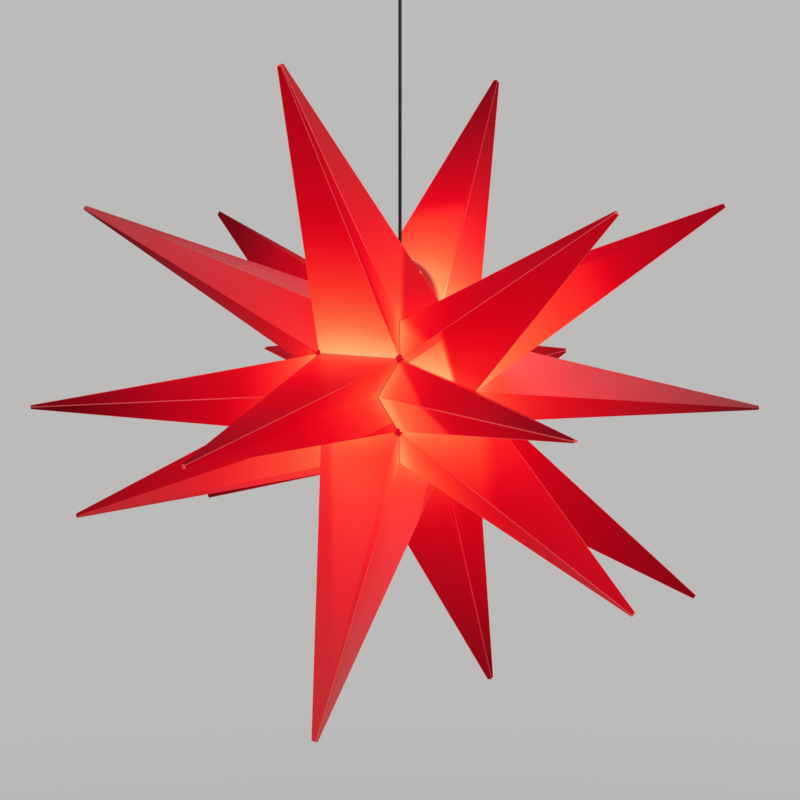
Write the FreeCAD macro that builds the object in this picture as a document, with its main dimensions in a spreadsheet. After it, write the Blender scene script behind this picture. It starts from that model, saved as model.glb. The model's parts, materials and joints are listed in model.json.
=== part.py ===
import FreeCAD, Part
import Sketcher
import math
import os

# Folding star pendant lamp: eighteen hollow spikes of folded red sheet in six columns of three, closed at the
# top by two taped tabs round the cord, with a screw lampholder and a bulb inside and a ceiling cup above.
# The origin is on the ceiling face, over the cord. +Z is up, and the fold axis of the star runs along X.

Vector = FreeCAD.Vector
doc = FreeCAD.newDocument("star_pendant")
sheet = doc.addObject("Spreadsheet::Sheet", "sizes")
parts = []

SIZES = {
    # the star, measured from its own centre
    "star_drop": 620.0,
    "spike_reach": 500.0,
    "row_angle": 56.0,
    "tip_taper": 22.0,
    "sheet_wall": 0.6,
    "flap_width": 12.0,
    "flap_gap": 0.6,
    "flap_weld": 0.1,
    "seam_out": 63.0,
    "seam_radius": 117.0,
    "waist_out": 32.0,
    "waist_radius": 110.0,
    "pole_out": 118.0,
    "front_seam_turn": 4.0,
    "low_seam_turn": 8.0,
    "tie_head_radius": 5.5,
    "tie_head_height": 2.0,
    "tie_shank_radius": 1.6,
    "tie_depth": 6.0,
    "tie_washer_radius": 4.5,
    "tie_washer_height": 1.4,
    # the closing tabs and their tape
    "tab_radius": 60.0,
    "tab_wall": 0.8,
    "tab_weld": 1.0,
    "tab_hole_radius": 3.0,
    "tab_hole_inset": 10.3,
    "tab_hole_angle": 50.0,
    "tape_wall": 1.2,
    "tape_margin": 6.0,
    # the cord and the running gap round it
    "cord_diameter": 4.6,
    "running_gap": 0.4,
    # ceiling plate, cup and terminals
    "plate_radius": 44.0,
    "plate_wall": 2.0,
    "screw_spacing": 60.0,
    "screw_hole_diameter": 5.2,
    "cup_radius": 52.0,
    "cup_height": 52.0,
    "cup_corner": 22.0,
    "cup_wall": 2.2,
    "lug_width": 14.0,
    "lug_length": 16.0,
    "cup_screw_depth": 10.0,
    "cup_screw_diameter": 4.0,
    "cup_screw_head": 8.0,
    "cup_screw_head_height": 2.4,
    "block_length": 26.0,
    "block_width": 15.0,
    "block_height": 14.0,
    "wire_hole_diameter": 4.0,
    "wire_pitch": 11.0,
    "terminal_screw_diameter": 4.6,
    "terminal_screw_height": 2.0,
    # the swivel ball of the cup and the collar above it
    "ball_radius": 9.0,
    "ball_gap": 0.3,
    "ball_rise": 6.0,
    "ball_flat": 6.0,
    "socket_rise": 2.0,
    "socket_wall": 4.0,
    "stop_diameter": 11.0,
    "stop_height": 8.0,
    "stop_screw_diameter": 3.0,
    "stop_screw_length": 4.0,
    "cord_tail": 4.0,
    # lampholder
    "grip_diameter": 17.0,
    "grip_height": 12.0,
    "grip_spigot": 10.0,
    "seat_gap": 0.3,
    "cap_diameter": 42.0,
    "cap_height": 24.0,
    "cap_corner": 12.0,
    "holder_wall": 2.0,
    "holder_diameter": 41.0,
    "holder_height": 36.0,
    "holder_lip": 1.5,
    "insert_thickness": 10.0,
    "shell_bore": 27.2,
    "shell_wall": 0.6,
    "shell_depth": 25.0,
    "contact_diameter": 6.0,
    "contact_height": 2.6,
    # bulb
    "contact_gap": 0.2,
    "base_diameter": 26.4,
    "base_height": 22.0,
    "base_shoulder": 4.0,
    "base_wall": 0.5,
    "insulator_height": 2.4,
    "insulator_radius": 7.0,
    "tip_contact_radius": 4.5,
    "tip_contact_height": 1.2,
    "neck_radius": 15.5,
    "housing_height": 30.0,
    "housing_wall": 1.5,
    "housing_sweep": 70.0,
    "globe_radius": 30.0,
    "globe_mouth": 25.5,
    "globe_wall": 1.2,
}
COLUMNS = 6
BETWEEN = 360.0 / COLUMNS

# How far the spikes of this folded example lean from their regular places, in degrees: round the fold axis,
# and along it. The two spikes that no view from the front shows stand in their regular places.
LEANS = {
    "left_1": (-3.5, 2.5), "middle_1": (-0.5, -2.5), "right_1": (-1.5, -3.0),
    "left_2": (-2.5, 2.0), "middle_2": (-4.5, 0.5), "right_2": (-0.5, -1.0),
    "left_3": (7.0, -2.5), "middle_3": (0.0, 2.5), "right_3": (0.0, 0.5),
    "left_4": (-2.0, -3.0), "middle_4": (5.5, 3.5), "right_4": (-2.5, -11.0),
    "left_5": (0.0, 0.0), "middle_5": (0.0, 0.0), "right_5": (4.0, -1.5),
    "left_6": (4.0, -1.0), "middle_6": (4.0, -0.5), "right_6": (3.0, -3.5),
}


def put(alias, value):
    # one named cell of the sheet
    row = len(cells) + 1
    cells.append(alias)
    sheet.set(f"A{row}", alias)
    sheet.set(f"B{row}", str(value))
    sheet.setAlias(f"B{row}", alias)


def formula(text):
    # the text with every size name written as a cell of the sheet
    words = []
    word = ""
    for letter in text + " ":
        if letter.isalnum() or letter == "_":
            word += letter
            continue
        words.append("sizes." + word if word in cells else word)
        words.append(letter)
        word = ""
    return "".join(words).strip()


def size(text):
    # the number that a formula of sheet names gives
    return float(sheet.evalExpression(formula(text)))


cells = []
for size_name, size_value in SIZES.items():
    put(size_name, size_value)
doc.recompute()


def bind(thing, prop, text):
    thing.setExpression(prop, formula(text))


def finish(thing, label):
    thing.Label = label
    parts.append(thing)
    return thing


def move(solid, x="0", y="0", z="0"):
    bind(solid, "Placement.Base.x", x)
    bind(solid, "Placement.Base.y", y)
    bind(solid, "Placement.Base.z", z)
    return solid


def turned(label, outline):
    # A turned piece: an outline in radius and height, revolved about Z. Each corner is (radius, height) in
    # sheet formulas. Two more entries make the side that arrives there an arc: its radius, and its swell side.
    body = doc.addObject("PartDesign::Body", label + "_body")
    sketch = body.newObject("Sketcher::SketchObject", label + "_outline")
    plane = [item for item in body.Origin.OriginFeatures if item.Role == "XZ_Plane"][0]
    sketch.AttachmentSupport = [(plane, "")]
    sketch.MapMode = "FlatFace"
    corners = [Vector(size(corner[0]), size(corner[1]), 0) for corner in outline]
    count = len(corners)
    for index in range(count):
        start = corners[index]
        end = corners[(index + 1) % count]
        arrival = outline[(index + 1) % count]
        if len(arrival) == 2:
            sketch.addGeometry(Part.LineSegment(start, end), False)
            continue
        radius = size(arrival[2])
        chord = end - start
        across = Vector(chord.y, -chord.x, 0).normalize() * arrival[3]
        rise = radius - math.sqrt(max(radius ** 2 - (chord.Length / 2.0) ** 2, 0.0))
        swell = (start + end) * 0.5 + across * rise
        first, last = (start, end) if arrival[3] > 0 else (end, start)
        sketch.addGeometry(Part.Arc(first, swell, last), False)
    starts = []
    for index in range(count):
        begins_here = sketch.Geometry[index].StartPoint.distanceToPoint(corners[index]) < 1e-6
        starts.append(1 if begins_here else 2)
    for index in range(count):
        following = (index + 1) % count
        joint = ("Coincident", index, 3 - starts[index], following, starts[following])
        sketch.addConstraint(Sketcher.Constraint(*joint))
    for index in range(count):
        for kind, text, axis in (("DistanceX", outline[index][0], -2), ("DistanceY", outline[index][1], -1)):
            value = size(text)
            if abs(value) < 1e-9:
                sketch.addConstraint(Sketcher.Constraint("PointOnObject", index, starts[index], axis))
                continue
            placed = Sketcher.Constraint(kind, -1, 1, index, starts[index], value)
            number = sketch.addConstraint(placed)
            sketch.setExpression(f"Constraints[{number}]", formula(text))
    for index in range(count):
        arrival = outline[(index + 1) % count]
        if len(arrival) == 4:
            number = sketch.addConstraint(Sketcher.Constraint("Radius", index, size(arrival[2])))
            sketch.setExpression(f"Constraints[{number}]", formula(arrival[2]))
    doc.recompute()
    revolution = body.newObject("PartDesign::Revolution", label + "_turned")
    revolution.Profile = sketch
    revolution.ReferenceAxis = (sketch, ["V_Axis"])
    revolution.Angle = 360.0
    doc.recompute()
    return body


def cylinder(name, radius, height, turn=None, angle=360.0):
    rod = doc.addObject("Part::Cylinder", name)
    bind(rod, "Radius", radius)
    bind(rod, "Height", height)
    rod.Angle = angle
    if turn is not None:
        rod.Placement = FreeCAD.Placement(Vector(0, 0, 0), turn)
    return rod


def block(name, length, width, height):
    solid = doc.addObject("Part::Box", name)
    bind(solid, "Length", length)
    bind(solid, "Width", width)
    bind(solid, "Height", height)
    return solid


def ball(name, radius):
    solid = doc.addObject("Part::Sphere", name)
    bind(solid, "Radius", radius)
    return solid


def fuse(name, solids):
    result = doc.addObject("Part::MultiFuse", name)
    result.Shapes = solids
    return result


def cut(name, base, tools):
    result = doc.addObject("Part::Cut", name)
    result.Base = base
    result.Tool = tools[0] if len(tools) == 1 else fuse(name + "_tools", tools)
    return result


def group(name, solids):
    result = doc.addObject("Part::Compound", name)
    result.Links = solids
    return result


ALONG_X = FreeCAD.Rotation(Vector(0, 1, 0), 90)
ALONG_Y = FreeCAD.Rotation(Vector(1, 0, 0), -90)
ALONG_MINUS_Y = FreeCAD.Rotation(Vector(1, 0, 0), 90)


# Ceiling plate: a steel disc with two fixing holes and a bent strap whose lugs take the cup's side screws.

LUG_OUTER = "(cup_radius - cup_wall - running_gap)"
disc = move(cylinder("plate_disc", "plate_radius", "plate_wall"), z="-plate_wall")
strap = block("plate_strap", "lug_width", f"2 * {LUG_OUTER}", "plate_wall")
move(strap, "-lug_width / 2", f"-{LUG_OUTER}", "-plate_wall")
lugs = []
holes = []
for side in (-1, 1):
    lug = block(f"plate_lug_{side + 1}", "lug_width", "plate_wall", "lug_length")
    move(lug, "-lug_width / 2", f"{side} * ({LUG_OUTER} - plate_wall / 2) - plate_wall / 2", "-lug_length")
    lugs.append(lug)
    hole = cylinder(f"plate_hole_{side + 1}", "screw_hole_diameter / 2", "3 * plate_wall")
    holes.append(move(hole, f"{side} * screw_spacing / 2", "0", "-2 * plate_wall"))
thread = cylinder("lug_thread", "cup_screw_diameter / 2", "2 * cup_radius", ALONG_Y)
holes.append(move(thread, y="-cup_radius", z="-cup_screw_depth"))
finish(cut("plate_cut", fuse("plate_joined", [disc, strap] + lugs), holes), "ceiling_plate")

# The cup is a thin moulding with a round socket in its floor, where the swivel ball sits.

SEAT = "(ball_radius + ball_gap)"
BALL_DEPTH = "(cup_height - ball_rise)"
cup = turned("cup", [
    (f"sqrt({SEAT} ^ 2 - ball_rise ^ 2)", "0"),
    ("cup_radius - cup_corner", "0"),
    ("cup_radius", "cup_corner", "cup_corner", 1),
    ("cup_radius", "cup_height"),
    ("cup_radius - cup_wall", "cup_height"),
    ("cup_radius - cup_wall", "cup_corner"),
    ("cup_radius - cup_corner", "cup_wall", "cup_corner - cup_wall", -1),
    (f"{SEAT} + socket_wall", "cup_wall"),
    (f"{SEAT} + socket_wall", f"ball_rise + socket_rise"),
    (f"sqrt({SEAT} ^ 2 - socket_rise ^ 2)", f"ball_rise + socket_rise"),
])
bind(cup, "Placement.Base.z", "-cup_height")
seat = move(ball("cup_seat", SEAT), z=f"-{BALL_DEPTH}")
SCREW_WAY = "cup_screw_diameter / 2 + running_gap"
screw_way = cylinder("cup_screw_way", SCREW_WAY, "2 * (cup_radius + cup_wall)", ALONG_Y)
move(screw_way, y="-(cup_radius + cup_wall)", z="-cup_screw_depth")
finish(cut("cup_cut", cup, [seat, screw_way]), "ceiling_cup")

screws = []
for side, turn in ((-1, ALONG_MINUS_Y), (1, ALONG_Y)):
    reach = "cup_wall + plate_wall + running_gap"
    shank = cylinder(f"screw_shank_{side + 1}", "cup_screw_diameter / 2", reach, turn)
    move(shank, y=f"{side} * (cup_radius - ({reach}))", z="-cup_screw_depth")
    head = cylinder(f"screw_head_{side + 1}", "cup_screw_head / 2", "cup_screw_head_height", turn)
    move(head, y=f"{side} * cup_radius", z="-cup_screw_depth")
    screws.append(fuse(f"cup_screw_{side + 1}", [shank, head]))
finish(group("cup_screw_pair", screws), "cup_screws")

# The terminal block hangs under the plate, with its screws facing down.

terminal = block("terminal_base", "block_length", "block_width", "block_height")
move(terminal, "-block_length / 2", "-block_width / 2", "-plate_wall - block_height")
wire_ways = []
studs = []
for side in (-1, 1):
    way = cylinder(f"wire_way_{side + 1}", "wire_hole_diameter / 2", "2 * block_width", ALONG_Y)
    wire_ways.append(move(way, f"{side} * wire_pitch / 2", "-block_width", "-plate_wall - block_height / 2"))
    stud = cylinder(f"terminal_stud_{side + 1}", "terminal_screw_diameter / 2", "terminal_screw_height")
    move(stud, f"{side} * wire_pitch / 2", "0", "-plate_wall - block_height - terminal_screw_height")
    studs.append(stud)
finish(cut("terminal_cut", terminal, wire_ways), "terminal_block")
finish(group("terminal_studs", studs), "terminal_screws")

# The swivel ball carries the cord through the cup. A collar with a grub screw stops the cord above it.

BALL_TOP = f"(-{BALL_DEPTH} + ball_flat)"
swivel = move(ball("swivel_round", "ball_radius"), z=f"-{BALL_DEPTH}")
flat = block("swivel_flat", "3 * ball_radius", "3 * ball_radius", "2 * ball_radius")
move(flat, "-1.5 * ball_radius", "-1.5 * ball_radius", BALL_TOP)
swivel_bore = cylinder("swivel_bore", "cord_diameter / 2", "4 * ball_radius")
move(swivel_bore, z=f"-{BALL_DEPTH} - 2 * ball_radius")
finish(cut("swivel_cut", swivel, [flat, swivel_bore]), "swivel_ball")

collar = move(cylinder("stop_collar", "stop_diameter / 2", "stop_height"), z=BALL_TOP)
collar_bore = cylinder("stop_bore", "cord_diameter / 2", "2 * stop_height")
move(collar_bore, z=f"{BALL_TOP} - stop_height / 2")
grub_way = cylinder("stop_thread", "stop_screw_diameter / 2", "stop_diameter", ALONG_X)
move(grub_way, z=f"{BALL_TOP} + stop_height / 2")
finish(cut("stop_cut", collar, [collar_bore, grub_way]), "cord_stop")
grub = cylinder("stop_grub", "stop_screw_diameter / 2", "stop_screw_length", ALONG_X)
move(grub, "cord_diameter / 2 + running_gap / 2", "0", f"{BALL_TOP} + stop_height / 2")
finish(grub, "cord_stop_screw")


# Star shade. Each spike is one folded sheet, open towards the star's centre. Neighbours meet on flat planes
# that run through the centre, so the folded edges of two spikes lie on each other all round.

CENTRE = Vector(0, 0, -size("star_drop"))
SIDES = {"left": -1, "middle": 0, "right": 1}


def round_axis(out, radius, degrees):
    angle = math.radians(degrees)
    return Vector(out, radius * math.sin(angle), radius * math.cos(angle))


def seam_corner(boundary, side):
    # a corner where four spikes meet, between a column and the next one
    degrees = -BETWEEN * (boundary % COLUMNS)
    if boundary == 1:
        degrees -= size("front_seam_turn")
    if boundary == 2 and side > 0:
        degrees += size("low_seam_turn")
    return round_axis(side * size("seam_out"), size("seam_radius"), degrees)


def waist_corner(column, side):
    # the fold in the middle of a column, where a middle spike is narrowest
    return round_axis(side * size("waist_out"), size("waist_radius"), -BETWEEN * (column - 0.5))


def spike_direction(row, column):
    turn, lift = LEANS[f"{row}_{column}"]
    regular_lift = SIDES[row] * size("row_angle")
    regular_turn = -BETWEEN * (column - 0.5)
    round_turn = turn / math.cos(math.radians(regular_lift))
    lift_angle = math.radians(regular_lift + lift)
    return round_axis(math.sin(lift_angle), math.cos(lift_angle), regular_turn + round_turn)


def spike_corners(row, column):
    side = SIDES[row]
    before = column - 1
    if side == 0:
        return [seam_corner(before, 1), seam_corner(before, -1), waist_corner(column, -1),
                seam_corner(column, -1), seam_corner(column, 1), waist_corner(column, 1)]
    pole = Vector(side * size("pole_out"), 0, 0)
    return [seam_corner(before, side), waist_corner(column, side), seam_corner(column, side), pole]


def side_normals(apex, corners):
    # outward unit normal of each sloping side, from its corner to the next
    normals = []
    middle = sum(corners, Vector()) * (1.0 / len(corners))
    inside = (apex + middle) * 0.5
    for index, corner in enumerate(corners):
        following = corners[(index + 1) % len(corners)]
        normal = (corner - apex).cross(following - apex).normalize()
        normals.append(normal if normal.dot(inside - apex) < 0 else normal * -1)
    return normals


def cone_skin(direction, reach, apex, corners):
    # the sloping faces and the blunt end of one skin of a spike
    ring = []
    for corner in corners:
        slope = corner - apex
        ring.append(apex + slope * ((reach - apex.dot(direction)) / slope.dot(direction)))
    faces = [Part.Face(Part.makePolygon(ring + ring[:1]))]
    for index, corner in enumerate(corners):
        following = (index + 1) % len(corners)
        side = [corner, corners[following], ring[following], ring[index], corner]
        faces.append(Part.Face(Part.makePolygon(side)))
    return faces


def lip(corner, normals):
    # how far the sheet's cut edge runs inwards from a corner, for the wall to be as thick as the sheet
    ray = Vector(corner).normalize()
    return size("sheet_wall") / min(normal.dot(ray) for normal in normals)


def glue_flap(apex, corner, following, normal):
    # the glued strip that closes the sheet, on the inside of one side along its first fold
    fold = (apex - corner).normalize()
    across = fold.cross(normal).normalize()
    rim = (following - corner).normalize()
    if across.dot(rim) < 0:
        across = across * -1
    start = corner + fold * size("flap_gap") + rim * (size("flap_gap") / across.dot(rim))
    foot = start + rim * (size("flap_width") / across.dot(rim))
    width = (following - corner).dot(across)
    run = (apex - corner).Length * (1.0 - 2.0 * size("flap_width") / width)
    outline = [start, foot, foot + fold * (run - (foot - start).dot(fold)), start + fold * run, start]
    strip = Part.Face(Part.makePolygon([point + normal * size("flap_weld") for point in outline]))
    return strip.extrude(normal * -(size("flap_weld") + size("sheet_wall")))


def spike_solid(row, column):
    direction = spike_direction(row, column)
    corners = spike_corners(row, column)
    apex = direction * (size("spike_reach") + size("tip_taper"))
    normals = side_normals(apex, corners)
    inner_apex = apex - direction * (size("sheet_wall") / min(normal.dot(direction) for normal in normals))
    inner_corners = []
    for index, corner in enumerate(corners):
        depth = lip(corner, (normals[index - 1], normals[index]))
        inner_corners.append(corner * (1.0 - depth / corner.Length))
    faces = cone_skin(direction, size("spike_reach"), apex, corners)
    faces += cone_skin(direction, size("spike_reach") - size("sheet_wall"), inner_apex, inner_corners)
    for index, corner in enumerate(corners):
        following = (index + 1) % len(corners)
        rim = [corner, corners[following], inner_corners[following], inner_corners[index], corner]
        faces.append(Part.Face(Part.makePolygon(rim)))
    shell = Part.makeShell(faces)
    shell.sewShape()
    solid = Part.makeSolid(shell)
    if solid.Volume < 0:
        solid.reverse()
    flap_corner = seam_corner(column, SIDES[row] or 1)
    index = [corner.isEqual(flap_corner, 1e-6) for corner in corners].index(True)
    following = (index + 1) % len(corners)
    flap = glue_flap(inner_apex, inner_corners[index], inner_corners[following], normals[index])
    return solid.fuse(flap).Solids[0]


def top_lip():
    # how deep the sheet reaches below the closing seam
    direction = spike_direction("middle", 1)
    corners = spike_corners("middle", 1)
    normals = side_normals(direction * (size("spike_reach") + size("tip_taper")), corners)
    depth = max(lip(corners[0], (normals[-1], normals[0])), lip(corners[1], (normals[0], normals[1])))
    return depth * corners[0].z / corners[0].Length


cord_way = Part.makeCylinder(size("cord_diameter / 2 + running_gap"), size("tab_radius"),
                             Vector(0, 0, size("seam_radius") - size("tab_radius") / 2))
for row in SIDES:
    for column in range(1, COLUMNS + 1):
        solid = spike_solid(row, column)
        if row == "middle" and column in (1, COLUMNS):
            solid = solid.cut(cord_way)
        spike = doc.addObject("Part::Feature", f"{row}_{column}_sheet")
        spike.Shape = solid
        spike.Placement = FreeCAD.Placement(CENTRE, FreeCAD.Rotation())
        finish(spike, f"{row}_spike_{column}")

# A moulded button tie holds the four sheets together at each corner but the two of the closing seam: a round
# head outside, a shank through the cut corners and a washer inside.

TIE_RUNS = (
    ("head", "tie_head_radius", "tie_head_height", "0"),
    ("shank", "tie_shank_radius", "tie_depth + tie_head_height", "-tie_depth"),
    ("washer", "tie_washer_radius", "tie_washer_height", "-tie_depth"),
)
ties = []
for boundary in range(1, COLUMNS):
    for side in (-1, 1):
        corner = seam_corner(boundary, side)
        outward = FreeCAD.Rotation(Vector(0, 0, 1), corner)
        runs = []
        for run_name, radius, height, rise in TIE_RUNS:
            run = cylinder(f"tie_{run_name}_{boundary}_{side + 1}", radius, height)
            foot = CENTRE + corner + outward.multVec(Vector(0, 0, size(rise)))
            run.Placement = FreeCAD.Placement(foot, outward)
            runs.append(run)
        ties.append(fuse(f"tie_{boundary}_{side + 1}", runs))
finish(group("tie_set", ties), "corner_ties")

# Two half-round tabs stand on the closing seam, pressed together by a strip of hook and loop tape with the
# cord running down between them in a moulded channel.

TAB_FOOT = "(-star_drop + seam_radius + tab_weld)"
CHANNEL = "(cord_diameter / 2 + running_gap)"
HOLE_OUT = "((tab_radius - tab_hole_inset) * cos(tab_hole_angle * 1 deg))"
HOLE_RISE = "((tab_radius - tab_hole_inset) * sin(tab_hole_angle * 1 deg))"
HALF = {"front": FreeCAD.Rotation(Vector(0, 0, 1), 180), "back": FreeCAD.Rotation()}
FACING = {"front": "0", "back": "1"}
TAPES = {"front": "tape_hooks", "back": "tape_loops"}
for name in ("front", "back"):
    facing = FACING[name]
    panel = cylinder(f"{name}_tab_panel", "tab_radius", "tab_wall", ALONG_MINUS_Y, 180.0)
    move(panel, "0", f"{facing} * (2 * tape_wall + tab_wall) - tape_wall", TAB_FOOT)
    bulge = cylinder(f"{name}_tab_bulge", f"{CHANNEL} + tab_wall", "tab_radius", HALF[name], 180.0)
    move(bulge, z=TAB_FOOT)
    way = cylinder(f"{name}_tab_way", CHANNEL, "3 * tab_radius")
    move(way, z=f"{TAB_FOOT} - tab_radius")
    tools = [way]
    patch = cylinder(f"{name}_tape_panel", "tab_radius - tape_margin", "tape_wall", ALONG_MINUS_Y, 180.0)
    move(patch, "0", f"{facing} * tape_wall", f"{TAB_FOOT} + tape_wall")
    gap = block(f"{name}_tape_gap", f"2 * ({CHANNEL} + tab_wall)", "4 * tape_wall", "tab_radius")
    move(gap, f"-({CHANNEL} + tab_wall)", "-2 * tape_wall", TAB_FOOT)
    tape_tools = [gap]
    for side in (-1, 1):
        for owner, cutters in (("tab", tools), ("tape", tape_tools)):
            punch = cylinder(f"{name}_{owner}_punch_{side + 1}", "tab_hole_radius", "tab_radius", ALONG_Y)
            move(punch, f"{side} * {HOLE_OUT}", "-tab_radius / 2", f"{TAB_FOOT} + {HOLE_RISE}")
            cutters.append(punch)
    finish(cut(f"{name}_tab_cut", fuse(f"{name}_tab_joined", [panel, bulge]), tools), f"closing_tab_{name}")
    finish(cut(f"{name}_tape_cut", patch, tape_tools), TAPES[name])


# Lampholder. The star rests on the grip, so its heights count down from the underside of the closing seam.

put("seam_lip", round(top_lip(), 4))
doc.recompute()
GRIP_TOP = "(-star_drop + seam_radius - seam_lip - seat_gap)"
CAP_TOP = f"({GRIP_TOP} - grip_height)"
CAP_FOOT = f"({CAP_TOP} - cap_height)"
HOLDER_FOOT = f"({CAP_FOOT} - holder_height)"
INSERT_FOOT = f"({CAP_FOOT} - insert_thickness)"

grip = turned("grip", [
    ("cord_diameter / 2", "0"),
    ("grip_spigot / 2", "0"),
    ("grip_spigot / 2", "holder_wall"),
    ("grip_diameter / 2", "holder_wall"),
    ("grip_diameter / 2", "holder_wall + grip_height"),
    ("cord_diameter / 2", "holder_wall + grip_height"),
])
bind(grip, "Placement.Base.z", f"{CAP_TOP} - holder_wall")
finish(grip, "cord_grip")

cap = turned("cap", [
    ("cap_diameter / 2 - holder_wall", "0"),
    ("cap_diameter / 2", "0"),
    ("cap_diameter / 2", "cap_height - cap_corner"),
    ("cap_diameter / 2 - cap_corner", "cap_height", "cap_corner", 1),
    ("grip_spigot / 2", "cap_height"),
    ("grip_spigot / 2", "cap_height - holder_wall"),
    ("cap_diameter / 2 - cap_corner", "cap_height - holder_wall"),
    ("cap_diameter / 2 - holder_wall", "cap_height - cap_corner", "cap_corner - holder_wall", -1),
])
bind(cap, "Placement.Base.z", CAP_FOOT)
finish(cap, "holder_cap")

holder = turned("holder", [
    ("holder_diameter / 2 - holder_wall", "0"),
    ("holder_diameter / 2 + holder_lip", "0"),
    ("holder_diameter / 2 + holder_lip", "2 * holder_wall"),
    ("holder_diameter / 2", "2 * holder_wall + holder_lip"),
    ("holder_diameter / 2", "holder_height"),
    ("holder_diameter / 2 - holder_wall", "holder_height"),
])
bind(holder, "Placement.Base.z", HOLDER_FOOT)
finish(holder, "holder_body")

insert = turned("insert", [
    ("0", "0"),
    ("holder_diameter / 2 - holder_wall", "0"),
    ("holder_diameter / 2 - holder_wall", "insert_thickness"),
    ("contact_diameter", "insert_thickness"),
    ("contact_diameter", "insert_thickness - holder_wall"),
    ("0", "insert_thickness - holder_wall"),
])
bind(insert, "Placement.Base.z", INSERT_FOOT)
finish(insert, "holder_insert")

threaded = turned("threaded", [
    ("shell_bore / 2", "0"),
    ("shell_bore / 2 + shell_wall", "0"),
    ("shell_bore / 2 + shell_wall", "shell_depth"),
    ("contact_diameter", "shell_depth"),
    ("contact_diameter", "shell_depth - shell_wall"),
    ("shell_bore / 2", "shell_depth - shell_wall"),
])
bind(threaded, "Placement.Base.z", f"{INSERT_FOOT} - shell_depth")
finish(threaded, "threaded_shell")

contact = turned("contact", [
    ("0", "0"),
    ("contact_diameter / 4", "0"),
    ("contact_diameter / 2", "contact_height / 2", "contact_height / 2 + contact_diameter / 8", 1),
    ("contact_diameter / 2", "contact_height"),
    ("0", "contact_height"),
])
bind(contact, "Placement.Base.z", f"{INSERT_FOOT} - contact_height")
finish(contact, "centre_contact")

CORD_TOP = f"({BALL_TOP} + stop_height + cord_tail)"
CORD_FOOT = f"({CAP_TOP} - holder_wall)"
cord = cylinder("cord_round", "cord_diameter / 2", f"{CORD_TOP} - {CORD_FOOT}")
move(cord, z=CORD_FOOT)
finish(cord, "hanging_cord")


# Bulb. It stands base up in the holder, and its heights count down from the centre contact.

TIP_TOP = f"({INSERT_FOOT} - contact_height - contact_gap)"
BASE_TOP = f"({TIP_TOP} - tip_contact_height - insulator_height)"
BASE_FOOT = f"({BASE_TOP} - base_height)"
HOUSING_FOOT = f"({BASE_FOOT} - housing_height)"

tip = move(cylinder("tip_round", "tip_contact_radius", "tip_contact_height"), z=f"{TIP_TOP} - tip_contact_height")
finish(tip, "bulb_contact")
insulator = turned("insulator", [
    ("0", "0"),
    ("insulator_radius", "0"),
    ("tip_contact_radius + base_wall", "insulator_height"),
    ("0", "insulator_height"),
])
bind(insulator, "Placement.Base.z", BASE_TOP)
finish(insulator, "bulb_insulator")
base = turned("base", [
    ("base_diameter / 2 - base_wall", "0"),
    ("base_diameter / 2", "0"),
    ("base_diameter / 2", "base_height - base_shoulder"),
    ("insulator_radius", "base_height"),
    ("0", "base_height"),
    ("0", "base_height - base_wall"),
    ("insulator_radius - base_wall", "base_height - base_wall"),
    ("base_diameter / 2 - base_wall", "base_height - base_shoulder - base_wall"),
])
bind(base, "Placement.Base.z", BASE_FOOT)
finish(base, "bulb_base")
housing = turned("housing", [
    ("globe_mouth - housing_wall", "0", "housing_sweep", 1),
    ("globe_mouth", "0"),
    ("neck_radius", "housing_height", "housing_sweep", -1),
    ("0", "housing_height"),
    ("0", "housing_height - housing_wall"),
    ("neck_radius - housing_wall", "housing_height - housing_wall"),
])
bind(housing, "Placement.Base.z", HOUSING_FOOT)
finish(housing, "bulb_housing")
MOUTH_UP = "sqrt(globe_radius ^ 2 - globe_mouth ^ 2)"
globe = turned("globe", [
    ("0", "0"),
    ("globe_mouth", f"globe_radius + {MOUTH_UP}", "globe_radius", 1),
    ("sqrt((globe_radius - globe_wall) ^ 2 - globe_radius ^ 2 + globe_mouth ^ 2)", f"globe_radius + {MOUTH_UP}"),
    ("0", "globe_wall", "globe_radius - globe_wall", -1),
])
bind(globe, "Placement.Base.z", f"{HOUSING_FOOT} - globe_radius - {MOUTH_UP}")
finish(globe, "bulb_globe")


doc.recompute()
for thing in doc.Objects:
    if "Invalid" in thing.State or "Error" in thing.State:
        raise RuntimeError(f"{thing.Name} did not build: {thing.State}")
for thing in parts:
    if thing.Shape.isNull() or not thing.Shape.isValid():
        raise RuntimeError(f"{thing.Label} is not a valid solid")
os.makedirs("parts", exist_ok=True)
for thing in parts:
    thing.Shape.exportStep(os.path.join("parts", thing.Label + ".step"))
    print(thing.Label, len(thing.Shape.Solids), "solid", round(thing.Shape.Volume, 1), "mm3")
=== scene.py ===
# %% [markdown]
# # A folding star pendant, dressed in Blender
#
# The lamp is a star of eighteen hollow spikes, folded from thin red plastic sheet and lit by one bulb in
# the middle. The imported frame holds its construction. This lesson gives every piece its finish: the glowing
# sheets, the cord that they hang by, and the fittings at both ends of the cord.

# %% Load the frame
import json
import math

import bmesh
import bpy
import numpy as np
from mathutils import Matrix, Vector


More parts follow.
